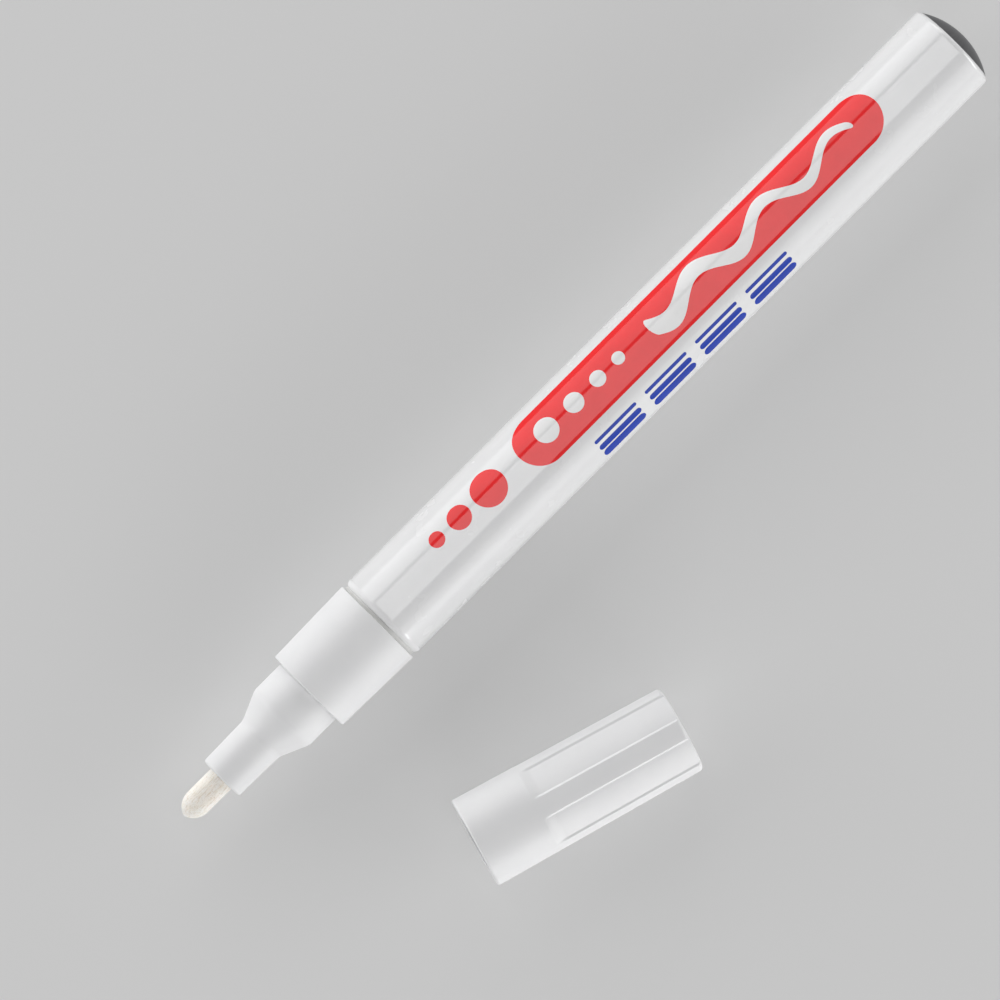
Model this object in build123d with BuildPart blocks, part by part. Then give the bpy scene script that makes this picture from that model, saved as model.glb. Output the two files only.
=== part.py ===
from build123d import *
import os
from math import atan, cos, degrees, pi, radians, sin, sqrt

# A valve-fed paint marker with a bullet nib, lying on its side with its cap pulled off beside it.
# Origin: the middle of the barrel wall, on its axis. +X runs to the nib and +Z is up. Millimetres.

# Barrel: a drawn aluminium can with a rolled-in mouth and a domed base
barrel_diameter = 12.0
barrel_wall_length = 97.3
barrel_wall = 0.45
shoulder_radius = 1.0
shoulder_limit_share = 0.9
base_dome_height = 1.98
base_corner_radius = 0.55
base_thickness = 0.8

# Gasket in the joint between barrel and collar
gasket_thickness = 0.45
gasket_diameter = 11.3

# Front section: collar, cap seat, cone and nose outside, spigot at the rear
collar_length = 12.1
collar_step = 1.1
collar_flare = 0.25
collar_edge_radius = 0.5
cap_seat_diameter = 9.45
cap_seat_length = 4.3
cone_length = 3.65
cone_blend_radius = 2.0
nose_length = 6.8
nose_rear_diameter = 6.24
nose_front_diameter = 5.98
nose_edge_radius = 0.3
spigot_length = 8.5
spigot_wall = 1.2
mouth_clearance = 0.05
bead_height_share = 0.25
bead_length = 2.2
bead_land = 0.7

# Nib: a fibre rod with an ogive point
nib_diameter = 3.5
nib_exposed = 6.4
nib_ogive_radius = 2.5
nib_tip_radius = 0.35
nib_rear_chamfer = 0.25
nib_clearance = 0.06
nib_travel = 1.2
nib_stop_gap = 0.4
feed_gap = 0.75

# Valve: soft seat, stem, spring and cage, stacked behind a ledge in the front section
valve_depth = 4.0
valve_ledge = 0.5
valve_fit = 0.03
valve_seat_thickness = 1.6
seat_cone_depth = 0.9
valve_shut_gap = 0.05
stem_pin_diameter = 1.6
stem_feed_gap = 0.45
stem_head_thickness = 0.7
stem_boss_length = 1.2
stem_rod_diameter = 1.2
stem_overhang = 0.8
cage_wall = 0.6
cage_window_length = 3.0
cage_window_width = 1.8
cage_window_margin = 0.6
cage_end_wall = 1.0
guide_clearance = 0.08
spring_diameter = 3.0
spring_wire = 0.35
spring_end_pitch = 0.9
spring_active_turns = 8
spring_boss_clearance = 0.1

# Steel ball that stirs the paint
ball_diameter = 5.0
ball_wall_gap = 0.1
ball_end_gap = 0.3

# Cap: a fluted shell with a soft inner cup
cap_length = 28.8
cap_fit = 0.045
cap_wall = 1.13
cap_draft = 0.25
cap_mouth_edge_radius = 0.3
cap_end_edge_radius = 0.6
cap_bore_length = 6.0
cap_bore_ledge = 0.45
cap_end_wall = 1.2
flute_count = 5
flute_start = 8.65
flute_depth = 0.22
flute_wall_lean = 0.2
flute_floor_radius = 9.3
flute_corner_radius = 1.0
land_angle = 24.0
liner_fit = 0.03
liner_clearance = 0.05
liner_overlap = 3.2
liner_floor = 0.9
liner_lead_in = 0.4

# Where the cap's middle lies beside the marker, and which way its mouth points
cap_rest_x = 47.0
cap_rest_y = 31.3
cap_heading = -16.1

# Cutters run past the surfaces that they cut by this much
overrun = 1.0

# Radii that follow from the sizes above
barrel_radius = barrel_diameter / 2
bore_radius = barrel_radius - barrel_wall
nib_radius = nib_diameter / 2
nib_bore_radius = nib_radius + nib_clearance
chamber_radius = nib_radius + feed_gap
pocket_radius = chamber_radius + valve_ledge
neck_radius = pocket_radius + spigot_wall
mouth_radius = neck_radius + mouth_clearance
bead_radius = neck_radius + bead_height_share * (bore_radius - neck_radius)
cap_seat_radius = cap_seat_diameter / 2
collar_front_radius = cap_seat_radius + collar_step
collar_rear_radius = collar_front_radius + collar_flare
nose_rear_radius = nose_rear_diameter / 2
nose_front_radius = nose_front_diameter / 2
shoulder = min(shoulder_radius, shoulder_limit_share * (barrel_radius - mouth_radius))

# Places along the marker's axis
base_rim_x = -barrel_wall_length / 2
base_apex_x = base_rim_x - base_dome_height
wall_front_x = barrel_wall_length / 2
barrel_front_x = wall_front_x + shoulder
collar_rear_x = barrel_front_x + gasket_thickness
collar_front_x = collar_rear_x + collar_length
cone_rear_x = collar_front_x + cap_seat_length
cone_front_x = cone_rear_x + cone_length
nose_front_x = cone_front_x + nose_length
nib_tip_x = nose_front_x + nib_exposed
spigot_end_x = collar_rear_x - spigot_length
ledge_x = collar_front_x - valve_depth
nib_rear_x = ledge_x + nib_stop_gap + nib_travel


def nearest_corner(profile, x, radius):
    """The corner of a drawn profile that lies nearest to a point."""
    return profile.vertices().sort_by_distance((x, radius))[0]


# Barrel
dome_radius = (barrel_radius**2 + base_dome_height**2) / (2 * base_dome_height)
dome_centre_x = base_apex_x + dome_radius
inner_dome_radius = dome_radius - base_thickness


def dome_point(sphere_radius, radius):
    """Point of a base sphere at a distance from the barrel's axis."""
    return (dome_centre_x - sqrt(sphere_radius**2 - radius**2), radius)


with BuildPart() as barrel:
    with BuildSketch(Plane.XY) as barrel_profile:
        with BuildLine():
            ThreePointArc(
                dome_point(dome_radius, 0),
                dome_point(dome_radius, barrel_radius / 2),
                dome_point(dome_radius, barrel_radius),
            )
            Line((base_rim_x, barrel_radius), (wall_front_x, barrel_radius))
            lip_outer = TangentArc(
                (wall_front_x, barrel_radius),
                (barrel_front_x, barrel_radius - shoulder),
                tangent=(1, 0),
            )
            Polyline(
                lip_outer @ 1,
                (barrel_front_x, mouth_radius),
                (barrel_front_x - barrel_wall, mouth_radius),
                (barrel_front_x - barrel_wall, barrel_radius - shoulder),
            )
            lip_inner = TangentArc(
                (barrel_front_x - barrel_wall, barrel_radius - shoulder),
                (wall_front_x, bore_radius),
                tangent=(0, 1),
            )
            Line(lip_inner @ 1, dome_point(inner_dome_radius, bore_radius))
            ThreePointArc(
                dome_point(inner_dome_radius, bore_radius),
                dome_point(inner_dome_radius, bore_radius / 2),
                dome_point(inner_dome_radius, 0),
            )
            Line(dome_point(inner_dome_radius, 0), dome_point(dome_radius, 0))
        make_face()
        fillet(nearest_corner(barrel_profile, base_rim_x, barrel_radius), base_corner_radius)
    revolve(axis=Axis.X)

# Gasket
with BuildPart() as barrel_gasket:
    with BuildSketch(Plane.YZ.offset(barrel_front_x)):
        Circle(gasket_diameter / 2)
        Circle(mouth_radius, mode=Mode.SUBTRACT)
    extrude(amount=gasket_thickness)

# Front section
bead_front_x = barrel_front_x - barrel_wall - mouth_clearance

with BuildPart() as front_section:
    with BuildSketch(Plane.XY) as front_profile:
        with BuildLine():
            Polyline(
                (nose_front_x, nib_bore_radius),
                (nose_front_x, nose_front_radius),
                (cone_front_x, nose_rear_radius),
                (cone_rear_x, cap_seat_radius),
                (collar_front_x, cap_seat_radius),
                (collar_front_x, collar_front_radius),
                (collar_rear_x, collar_rear_radius),
                (collar_rear_x, neck_radius),
                (bead_front_x, neck_radius),
                (bead_front_x, bead_radius),
                (bead_front_x - bead_land, bead_radius),
                (bead_front_x - bead_length, neck_radius),
                (spigot_end_x, neck_radius),
                (spigot_end_x, pocket_radius),
                (ledge_x, pocket_radius),
                (ledge_x, chamber_radius),
                (cone_rear_x, chamber_radius),
                (cone_front_x, nib_bore_radius),
                close=True,
            )
        make_face()
        fillet(nearest_corner(front_profile, nose_front_x, nose_front_radius), nose_edge_radius)
        fillet(nearest_corner(front_profile, cone_front_x, nose_rear_radius), cone_blend_radius)
        fillet(nearest_corner(front_profile, cone_rear_x, cap_seat_radius), cone_blend_radius)
        fillet(nearest_corner(front_profile, collar_front_x, collar_front_radius), collar_edge_radius)
    revolve(axis=Axis.X)

# Nib: the point is an ogive arc that runs into a small round tip
ogive_inset = nib_ogive_radius - nib_radius
ogive_reach = nib_ogive_radius - nib_tip_radius
tip_centre_x = nib_tip_x - nib_tip_radius
ogive_rear_x = tip_centre_x - sqrt(ogive_reach**2 - ogive_inset**2)
ogive_scale = nib_ogive_radius / ogive_reach
ogive_end = (
    ogive_rear_x + ogive_scale * (tip_centre_x - ogive_rear_x),
    ogive_inset * (ogive_scale - 1),
)

with BuildPart() as nib:
    with BuildSketch(Plane.XY) as nib_profile:
        with BuildLine():
            Polyline((nib_tip_x, 0), (nib_rear_x, 0), (nib_rear_x, nib_radius), (ogive_rear_x, nib_radius))
            ogive = TangentArc((ogive_rear_x, nib_radius), ogive_end, tangent=(1, 0))
            TangentArc(ogive_end, (nib_tip_x, 0), tangent=ogive % 1)
        make_face()
        chamfer(nearest_corner(nib_profile, nib_rear_x, nib_radius), nib_rear_chamfer)
    revolve(axis=Axis.X)

# Valve seat
valve_radius = pocket_radius - valve_fit
cage_front_x = ledge_x - valve_seat_thickness
stem_pin_radius = stem_pin_diameter / 2
seat_hole_radius = stem_pin_radius + stem_feed_gap
seat_mouth_radius = seat_hole_radius + seat_cone_depth
seat_throat_x = cage_front_x + seat_cone_depth

with BuildPart() as valve_seat:
    with BuildSketch(Plane.XY):
        with BuildLine():
            Polyline(
                (ledge_x, valve_radius),
                (ledge_x, seat_hole_radius),
                (seat_throat_x, seat_hole_radius),
                (cage_front_x, seat_mouth_radius),
                (cage_front_x, valve_radius),
                close=True,
            )
        make_face()
    revolve(axis=Axis.X)

# Valve cage: windows let the paint in behind the spigot, and the end wall guides the stem
cage_bore_radius = valve_radius - cage_wall
window_front_x = spigot_end_x - cage_window_margin
window_middle_x = window_front_x - cage_window_length / 2
end_wall_x = window_front_x - cage_window_length - cage_window_margin
cage_end_x = end_wall_x - cage_end_wall
stem_rod_radius = stem_rod_diameter / 2
guide_radius = stem_rod_radius + guide_clearance
window_reach = 2 * (valve_radius + overrun)

with BuildPart() as valve_cage:
    with BuildSketch(Plane.XY):
        with BuildLine():
            Polyline(
                (cage_front_x, valve_radius),
                (cage_front_x, cage_bore_radius),
                (end_wall_x, cage_bore_radius),
                (end_wall_x, guide_radius),
                (cage_end_x, guide_radius),
                (cage_end_x, valve_radius),
                close=True,
            )
        make_face()
    revolve(axis=Axis.X)
    with Locations((window_middle_x, 0, 0)):
        Box(cage_window_length, cage_window_width, window_reach, mode=Mode.SUBTRACT)
        Box(cage_window_length, window_reach, cage_window_width, mode=Mode.SUBTRACT)

# Valve stem: pin, sealing cone, spring boss and guide rod in one turned piece
spring_inner_radius = spring_diameter / 2 - spring_wire
stem_boss_radius = spring_inner_radius - spring_boss_clearance
head_front_x = cage_front_x - valve_shut_gap
head_rear_x = head_front_x - stem_head_thickness
stem_end_x = cage_end_x - stem_overhang

with BuildPart() as valve_stem:
    with BuildSketch(Plane.XY):
        with BuildLine():
            Polyline(
                (nib_rear_x, 0),
                (nib_rear_x, stem_pin_radius),
                (seat_throat_x - valve_shut_gap, stem_pin_radius),
                (seat_throat_x - valve_shut_gap, seat_hole_radius),
                (head_front_x, seat_mouth_radius),
                (head_rear_x, seat_mouth_radius),
                (head_rear_x, stem_boss_radius),
                (head_rear_x - stem_boss_length, stem_boss_radius),
                (head_rear_x - stem_boss_length, stem_rod_radius),
                (stem_end_x, stem_rod_radius),
                (stem_end_x, 0),
                close=True,
            )
        make_face()
    revolve(axis=Axis.X)

# Valve spring: open working turns between two closer end turns, which are ground flat
spring_radius = (spring_diameter - spring_wire) / 2
spring_length = head_rear_x - end_wall_x
spring_pitch = (spring_length - 2 * spring_end_pitch) / spring_active_turns
spring_turns = spring_active_turns + 2
steps_per_turn = 2


def spring_rise(turn):
    """How far the wire has run along the axis after some turns."""
    working = min(max(turn - 1, 0), spring_active_turns)
    return spring_end_pitch * (turn - working) + spring_pitch * working


def spring_point(turn):
    """Point of the wire's centre line."""
    angle = 2 * pi * turn
    return Vector(head_rear_x - spring_rise(turn), spring_radius * cos(angle), spring_radius * sin(angle))


def spring_heading(turn):
    """Direction of the wire, with its rise averaged over the turn around that point."""
    angle = 2 * pi * turn
    rise = spring_rise(turn + 1 / 2) - spring_rise(turn - 1 / 2)
    sweep_rate = 2 * pi * spring_radius
    return Vector(-rise, -sweep_rate * sin(angle), sweep_rate * cos(angle)).normalized()


def biarc_joint(start, start_heading, end, end_heading):
    """Where two arcs with given end headings meet, and their common heading there."""
    chord = end - start
    headings = start_heading + end_heading
    opening = 2 * (1 - start_heading.dot(end_heading))
    along = chord.dot(headings)
    arm = (sqrt(along**2 + opening * chord.dot(chord)) - along) / opening
    first = start + start_heading * arm
    second = end - end_heading * arm
    return (first + second) / 2, (second - first).normalized()


with BuildPart() as valve_spring:
    with BuildLine() as spring_path:
        for step in range(spring_turns * steps_per_turn):
            here = step / steps_per_turn
            there = (step + 1) / steps_per_turn
            joint, joint_heading = biarc_joint(
                spring_point(here), spring_heading(here), spring_point(there), spring_heading(there)
            )
            TangentArc(spring_point(here), joint, tangent=spring_heading(here))
            TangentArc(joint, spring_point(there), tangent=joint_heading)
    with BuildSketch(Plane(spring_point(0), z_dir=spring_heading(0))):
        Circle(spring_wire / 2)
    sweep(path=spring_path.line)
    with Locations(((head_rear_x + end_wall_x) / 2, 0, 0)):
        Box(spring_length, 2 * spring_diameter, 2 * spring_diameter, mode=Mode.INTERSECT)

# The least gap of the wire to itself, over points half a turn or more apart
gap_samples_per_turn = 48
wire_points = [spring_point(i / gap_samples_per_turn) for i in range(spring_turns * gap_samples_per_turn + 1)]
least_gap = min(
    (a - b).length - spring_wire
    for i, a in enumerate(wire_points)
    for b in wire_points[i + gap_samples_per_turn // 2 :]
)
print(f"valve spring: least gap of the wire to itself {least_gap:.2f} mm")

# Mixing ball, lying on the lower side of the bore near the base
ball_radius = ball_diameter / 2
ball_x = base_rim_x + ball_radius + ball_end_gap
ball_z = ball_radius + ball_wall_gap - bore_radius

with BuildPart() as mixing_ball:
    with Locations((ball_x, 0, ball_z)):
        Sphere(ball_radius)

# Cap sizes that follow from the seat that it fits
cap_bore_radius = cap_seat_radius + cap_fit
cap_mouth_radius = cap_bore_radius + cap_wall
cap_end_radius = cap_mouth_radius - cap_draft
cap_cavity_radius = cap_bore_radius - cap_bore_ledge
flute_half_angle = radians(360 / flute_count - land_angle) / 2
flute_mouth_radius = cap_mouth_radius - cap_draft * flute_start / cap_length

# One flute in cross-section: the corner at the surface, the corner at the floor and the floor's middle
flute_out = Vector(sin(flute_half_angle), cos(flute_half_angle))
flute_across = Vector(cos(flute_half_angle), -sin(flute_half_angle))
flute_wall = flute_out * flute_depth + flute_across * flute_wall_lean
flute_rim = flute_out * flute_mouth_radius
flute_foot = flute_rim - flute_wall
flute_top = flute_rim + flute_wall * (overrun / flute_wall.length)
flute_crown = flute_floor_radius - sqrt(flute_floor_radius**2 - flute_foot.X**2)
flute_middle = flute_foot.Y + flute_crown
flute_middle_depth = flute_mouth_radius - flute_middle

# The cap rests on the rear edge of its mouth band and on a flute at its far end, so its mouth tips up
marker_low_z = -max(barrel_radius, collar_rear_radius)
flute_end_radius = cap_end_radius - flute_middle_depth
cap_tilt = atan((flute_mouth_radius - flute_end_radius) / (cap_length - flute_start))
heading = radians(cap_heading)
cap_inward = Vector(-cos(cap_tilt) * cos(heading), -cos(cap_tilt) * sin(heading), -sin(cap_tilt))
cap_side = Vector(0, 0, 1).cross(cap_inward).normalized()
cap_mouth_z = marker_low_z + flute_mouth_radius * cos(cap_tilt) + flute_start * sin(cap_tilt)
cap_mouth_centre = Vector(
    cap_rest_x - cap_inward.X * cap_length / 2,
    cap_rest_y - cap_inward.Y * cap_length / 2,
    cap_mouth_z,
)
cap_section = Plane(cap_mouth_centre, x_dir=cap_inward, z_dir=-cap_side)
cap_axis = Axis(cap_mouth_centre, cap_inward)


def flute_cutter(angle):
    """What one flute takes away: a leaning prism whose starting corners are rounded."""
    across = cap_side.rotate(Axis((0, 0, 0), cap_inward), angle)
    section = Plane(cap_mouth_centre + cap_inward * flute_start, x_dir=across, z_dir=cap_inward)
    lean = section.z_dir * cap_length - section.y_dir * cap_draft
    face_plane = Plane(section.origin, x_dir=section.z_dir, z_dir=section.y_dir)
    run = cap_length - flute_start + overrun
    outline_length = run + overrun
    with BuildPart() as cutter:
        with BuildSketch(section):
            with BuildLine():
                ThreePointArc((-flute_foot.X, flute_foot.Y), (0, flute_middle), (flute_foot.X, flute_foot.Y))
                Polyline(
                    (flute_foot.X, flute_foot.Y),
                    (flute_top.X, flute_top.Y),
                    (flute_top.X, flute_mouth_radius + overrun),
                    (-flute_top.X, flute_mouth_radius + overrun),
                    (-flute_top.X, flute_top.Y),
                    (-flute_foot.X, flute_foot.Y),
                )
            make_face()
        extrude(amount=run, dir=lean)
        with BuildSketch(face_plane):
            with Locations((outline_length / 2, 0)):
                RectangleRounded(outline_length, 2 * flute_rim.X, flute_corner_radius)
        extrude(amount=flute_mouth_radius + overrun + overrun, mode=Mode.INTERSECT)
    return cutter.part


# Cap shell
flute_step = 360 / flute_count
flute_cutters = [flute_cutter(flute_step * (i + 1 / 2)) for i in range(flute_count)]

with BuildPart() as cap_shell:
    with BuildSketch(cap_section) as shell_profile:
        with BuildLine():
            Polyline(
                (0, cap_bore_radius),
                (0, cap_mouth_radius),
                (cap_length, cap_end_radius),
                (cap_length, 0),
                (cap_length - cap_end_wall, 0),
                (cap_length - cap_end_wall, cap_cavity_radius),
                (cap_bore_length, cap_cavity_radius),
                (cap_bore_length, cap_bore_radius),
                close=True,
            )
        make_face()
        fillet(nearest_corner(shell_profile.sketch_local, 0, cap_mouth_radius), cap_mouth_edge_radius)
        fillet(nearest_corner(shell_profile.sketch_local, cap_length, cap_end_radius), cap_end_edge_radius)
    revolve(axis=cap_axis)
    add(flute_cutters, mode=Mode.SUBTRACT)

# Cap liner: its lip closes round the nose when the cap is on
liner_radius = cap_cavity_radius - liner_fit
liner_bore_radius = nose_rear_radius + liner_clearance
liner_lip = nose_front_x - collar_front_x - liner_overlap
liner_end = cap_length - cap_end_wall

with BuildPart() as cap_liner:
    with BuildSketch(cap_section) as liner_profile:
        with BuildLine():
            Polyline(
                (liner_lip, liner_bore_radius),
                (liner_lip, liner_radius),
                (liner_end, liner_radius),
                (liner_end, 0),
                (liner_end - liner_floor, 0),
                (liner_end - liner_floor, liner_bore_radius),
                close=True,
            )
        make_face()
        chamfer(nearest_corner(liner_profile.sketch_local, liner_lip, liner_bore_radius), liner_lead_in)
    revolve(axis=cap_axis)

# Every piece is written under its own name
pieces = {
    "barrel": barrel,
    "barrel_gasket": barrel_gasket,
    "front_section": front_section,
    "nib": nib,
    "valve_seat": valve_seat,
    "valve_stem": valve_stem,
    "valve_spring": valve_spring,
    "valve_cage": valve_cage,
    "mixing_ball": mixing_ball,
    "cap_shell": cap_shell,
    "cap_liner": cap_liner,
}
os.makedirs("parts", exist_ok=True)
for name, piece in pieces.items():
    piece.part.label = name
    export_step(piece.part, f"parts/{name}.step")

print(f"ball travel {stem_end_x - nib_travel - ball_end_gap - ball_radius - ball_x:.2f} mm")
print(f"cap tilt {degrees(cap_tilt):.3f} degrees")
print(f"cap mouth centre {tuple(cap_mouth_centre)}, way out {tuple(-cap_inward)}")
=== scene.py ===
"""Paint marker with its cap off: looks and studio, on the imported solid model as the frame.

Lengths are in millimetres until a mesh is finished, and X runs along the marker to the nib.
"""
import math

import bmesh
import bpy
import numpy as np
from mathutils import Matrix, Vector


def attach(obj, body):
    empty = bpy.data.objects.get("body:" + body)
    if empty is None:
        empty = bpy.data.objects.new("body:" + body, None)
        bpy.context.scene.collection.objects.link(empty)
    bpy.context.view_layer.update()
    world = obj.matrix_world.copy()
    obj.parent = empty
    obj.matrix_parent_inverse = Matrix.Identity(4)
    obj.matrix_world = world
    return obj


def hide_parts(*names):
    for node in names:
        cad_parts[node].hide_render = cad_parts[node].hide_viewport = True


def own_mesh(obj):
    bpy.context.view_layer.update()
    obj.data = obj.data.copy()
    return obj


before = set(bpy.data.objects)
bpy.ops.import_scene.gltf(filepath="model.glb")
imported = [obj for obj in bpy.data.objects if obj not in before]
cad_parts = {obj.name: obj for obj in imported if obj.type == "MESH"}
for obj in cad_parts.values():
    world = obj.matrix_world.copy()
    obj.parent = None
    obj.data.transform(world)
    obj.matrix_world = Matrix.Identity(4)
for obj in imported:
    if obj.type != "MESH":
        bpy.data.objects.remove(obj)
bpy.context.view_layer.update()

MM = 0.001
FULL_TURN, QUARTER_TURN = 2 * math.pi, math.pi / 2

# Fineness of arcs and straights, and what counts as touching
CHORD_ERROR, LARGEST_STEP, SMALLEST_ARC = 0.002, math.radians(9), 0.01
SHORTEST_STRAIGHT, LEAD, LEAD_SHARE = 1e-4, 0.1, 0.3
ON_AXIS, WELD, PRINT_WELD = 1e-6, 1e-5, 2e-4

# Sizes that a finish or the floor shares with a piece
BARREL_RADIUS, BORE = 6.0, 5.55
ROLL_X, ROLL_RADIUS, ROLL_INSIDE = 48.65, 5.0, 0.55
COLLAR = 6.075


# Profiles and turned pieces

def arc(centre, radius, start, end):
    """Points of an arc in the profile plane, fine enough that its chords do not show."""
    step = min(LARGEST_STEP, 2 * math.acos(1 - CHORD_ERROR / max(radius, SMALLEST_ARC)))
    count = max(2, math.ceil(abs(end - start) / step))
    turns = np.linspace(start, end, count + 1)
    return [(centre[0] + radius * math.cos(a), centre[1] + radius * math.sin(a)) for a in turns]


def rounded(corners, loop=False, lead=LEAD):
    """Profile through corners (x, radius, rounding), with a short lead that keeps the straights flat."""
    spots = [Vector(corner[:2]) for corner in corners]
    count = len(spots)
    setbacks, ways = [], []
    for i, here in enumerate(spots):
        back = (spots[i - 1] - here).normalized()
        ahead = (spots[(i + 1) % count] - here).normalized()
        inner = loop or 0 < i < count - 1
        turn = math.pi - back.angle(ahead) if inner else 0.0
        setbacks.append(corners[i][2] * math.tan(turn / 2) if corners[i][2] else 0.0)
        ways.append((back, ahead, turn))
    line = []
    for i, here in enumerate(spots):
        back, ahead, turn = ways[i]
        rounding = corners[i][2]
        if not setbacks[i]:
            line.append(tuple(here))
            continue
        before = (spots[i - 1] - here).length - setbacks[i] - setbacks[i - 1]
        after = (spots[(i + 1) % count] - here).length - setbacks[i] - setbacks[(i + 1) % count]
        centre = here + (back + ahead).normalized() * (rounding / math.cos(turn / 2))
        first, last = here + back * setbacks[i] - centre, here + ahead * setbacks[i] - centre
        if before > SHORTEST_STRAIGHT:
            line.append(tuple(here + back * (setbacks[i] + min(lead, LEAD_SHARE * before))))
        start = math.atan2(first.y, first.x)
        sweep = (math.atan2(last.y, last.x) - start + math.pi) % FULL_TURN - math.pi
        line += arc(centre, rounding, start, start + sweep)
        if after > SHORTEST_STRAIGHT:
            line.append(tuple(here + ahead * (setbacks[i] + min(lead, LEAD_SHARE * after))))
    return line


def turned(name, profile, loop=False, angles=192):
    """Closed mesh turned about X from a profile of (x, radius); angle 0 points up."""
    if isinstance(angles, int):
        angles = np.linspace(0, FULL_TURN, angles, endpoint=False)
    count = len(angles)
    spots, rings, faces = [], [], []
    for x, radius in profile:
        first = len(spots)
        if radius < ON_AXIS:
            spots.append((x, 0.0, 0.0))
            rings.append([first] * count)
        else:
            spots += [(x, radius * math.sin(a), radius * math.cos(a)) for a in angles]
            rings.append(list(range(first, first + count)))
    pairs = list(zip(rings, rings[1:])) + ([(rings[-1], rings[0])] if loop else [])
    for one, two in pairs:
        for i in range(count):
            j = (i + 1) % count
            corners = list(dict.fromkeys((one[i], one[j], two[j], two[i])))
            if len(corners) > 2:
                faces.append(corners)
    mesh = bpy.data.meshes.new(name)
    mesh.from_pydata(spots, [], faces)
    face_out(mesh)
    return mesh


def face_out(mesh):
    """Weld doubles and point every face outwards."""
    work = bmesh.new()
    work.from_mesh(mesh)
    bmesh.ops.remove_doubles(work, verts=work.verts, dist=WELD)
    bmesh.ops.recalc_face_normals(work, faces=work.faces)
    work.to_mesh(mesh)
    work.free()


def joined(name, meshes):
    """Several meshes as one."""
    work = bmesh.new()
    for mesh in meshes:
        work.from_mesh(mesh)
    whole = bpy.data.meshes.new(name)
    work.to_mesh(whole)
    work.free()
    return whole


def facing(right, back):
    """Turn that takes X to right and Z to back."""
    return Matrix((right, back.cross(right), back)).transposed().to_4x4()


def piece(name, mesh, body, finish, stands_for=(), place=None, crease=32):
    """Finished object: mesh in metres at its place, smooth with crisp edges, riding on its body."""
    mesh.transform(Matrix.Scale(MM, 4) @ (place or Matrix()))
    mesh.shade_smooth()
    mesh.set_sharp_from_angle(angle=math.radians(crease))
    mesh.materials.clear()
    mesh.materials.append(finish)
    made = bpy.data.objects.new(name, mesh)
    bpy.context.scene.collection.objects.link(made)
    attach(made, body)
    if stands_for:
        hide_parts(*stands_for)
    return made


# Node trees

def put(tree, socket, value):
    """Link a socket, or set it to a constant."""
    if isinstance(value, Field):
        value = value.socket
    if isinstance(value, bpy.types.NodeSocket):
        tree.links.new(value, socket)
    else:
        socket.default_value = value


def node(tree, kind, inputs=None, **settings):
    """New node with its settings, and its inputs by name or number."""
    made = tree.nodes.new(kind)
    for key, value in settings.items():
        setattr(made, key, value)
    for key, value in (inputs or {}).items():
        put(tree, made.inputs[key], value)
    return made


class Field:
    """A number in a node tree, on which ordinary arithmetic makes Math nodes."""

    def __init__(self, tree, socket):
        self.tree, self.socket = tree, socket

    def maths(self, operation, *others):
        made = self.tree.nodes.new("ShaderNodeMath")
        made.operation = operation
        for socket, value in zip(made.inputs, (self, *others)):
            put(self.tree, socket, value)
        return Field(self.tree, made.outputs[0])

    def __add__(self, other):
        return self.maths("ADD", other)

    def __sub__(self, other):
        return self.maths("SUBTRACT", other)

    def __mul__(self, other):
        return self.maths("MULTIPLY", other)

    def __truediv__(self, other):
        return self.maths("DIVIDE", other)

    def inverse(self):
        return self.maths("POWER", -1.0)

    def hypot(self, other):
        return (self * self + other * other).maths("SQRT")

    def flipped(self):
        """1 where this is 0, and 0 where it is 1."""
        return self * -1.0 + 1.0

    def between(self, low, high):
        """low where this is 0, and high where it is 1."""
        return self * (high - low) + low

    def smooth(self, low, high):
        """0 below low, 1 above high, with soft ends."""
        made = node(self.tree, "ShaderNodeMapRange", {"Value": self, "From Min": low, "From Max": high},
                    interpolation_type="SMOOTHSTEP", clamp=True)
        return Field(self.tree, made.outputs["Result"])


def parts_of(tree, vector):
    """The three numbers of a vector."""
    split = node(tree, "ShaderNodeSeparateXYZ", {0: vector})
    return [Field(tree, socket) for socket in split.outputs]


def vector_of(tree, x, y, z):
    """A vector from three numbers."""
    return node(tree, "ShaderNodeCombineXYZ", {0: x, 1: y, 2: z}).outputs[0]


def noise_of(tree, place, scale, detail, roughness):
    """Noise at a place, about 0 to 1."""
    made = node(tree, "ShaderNodeTexNoise",
                {"Vector": place, "Scale": scale, "Detail": detail, "Roughness": roughness})
    return Field(tree, made.outputs[0])


def add_sockets(tree, way, sockets):
    """Named sockets on the outside of a tree."""
    for label, kind in sockets.items():
        tree.interface.new_socket(label, in_out=way, socket_type="NodeSocket" + kind)


def given_to(tree):
    """What a tree is given, as fields by name."""
    start = tree.nodes.new("NodeGroupInput")
    return {socket.name: Field(tree, socket) for socket in start.outputs if socket.name}


# Shape trees

def shape_tree(name, **inputs):
    """Empty geometry tree with named inputs, and those inputs as fields."""
    tree = bpy.data.node_groups.new(name, "GeometryNodeTree")
    add_sockets(tree, "INPUT", {"Geometry": "Geometry", **inputs, "Finish": "Material"})
    add_sockets(tree, "OUTPUT", {"Geometry": "Geometry"})
    return tree, given_to(tree)


def close_tree(tree, geometry, given):
    """Last nodes of every shape tree."""
    real = node(tree, "GeometryNodeRealizeInstances", {"Geometry": geometry})
    dressed = node(tree, "GeometryNodeSetMaterial",
                   {"Geometry": real.outputs[0], "Material": given["Finish"]})
    tree.links.new(dressed.outputs[0], tree.nodes.new("NodeGroupOutput").inputs[0])
    return tree


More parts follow.
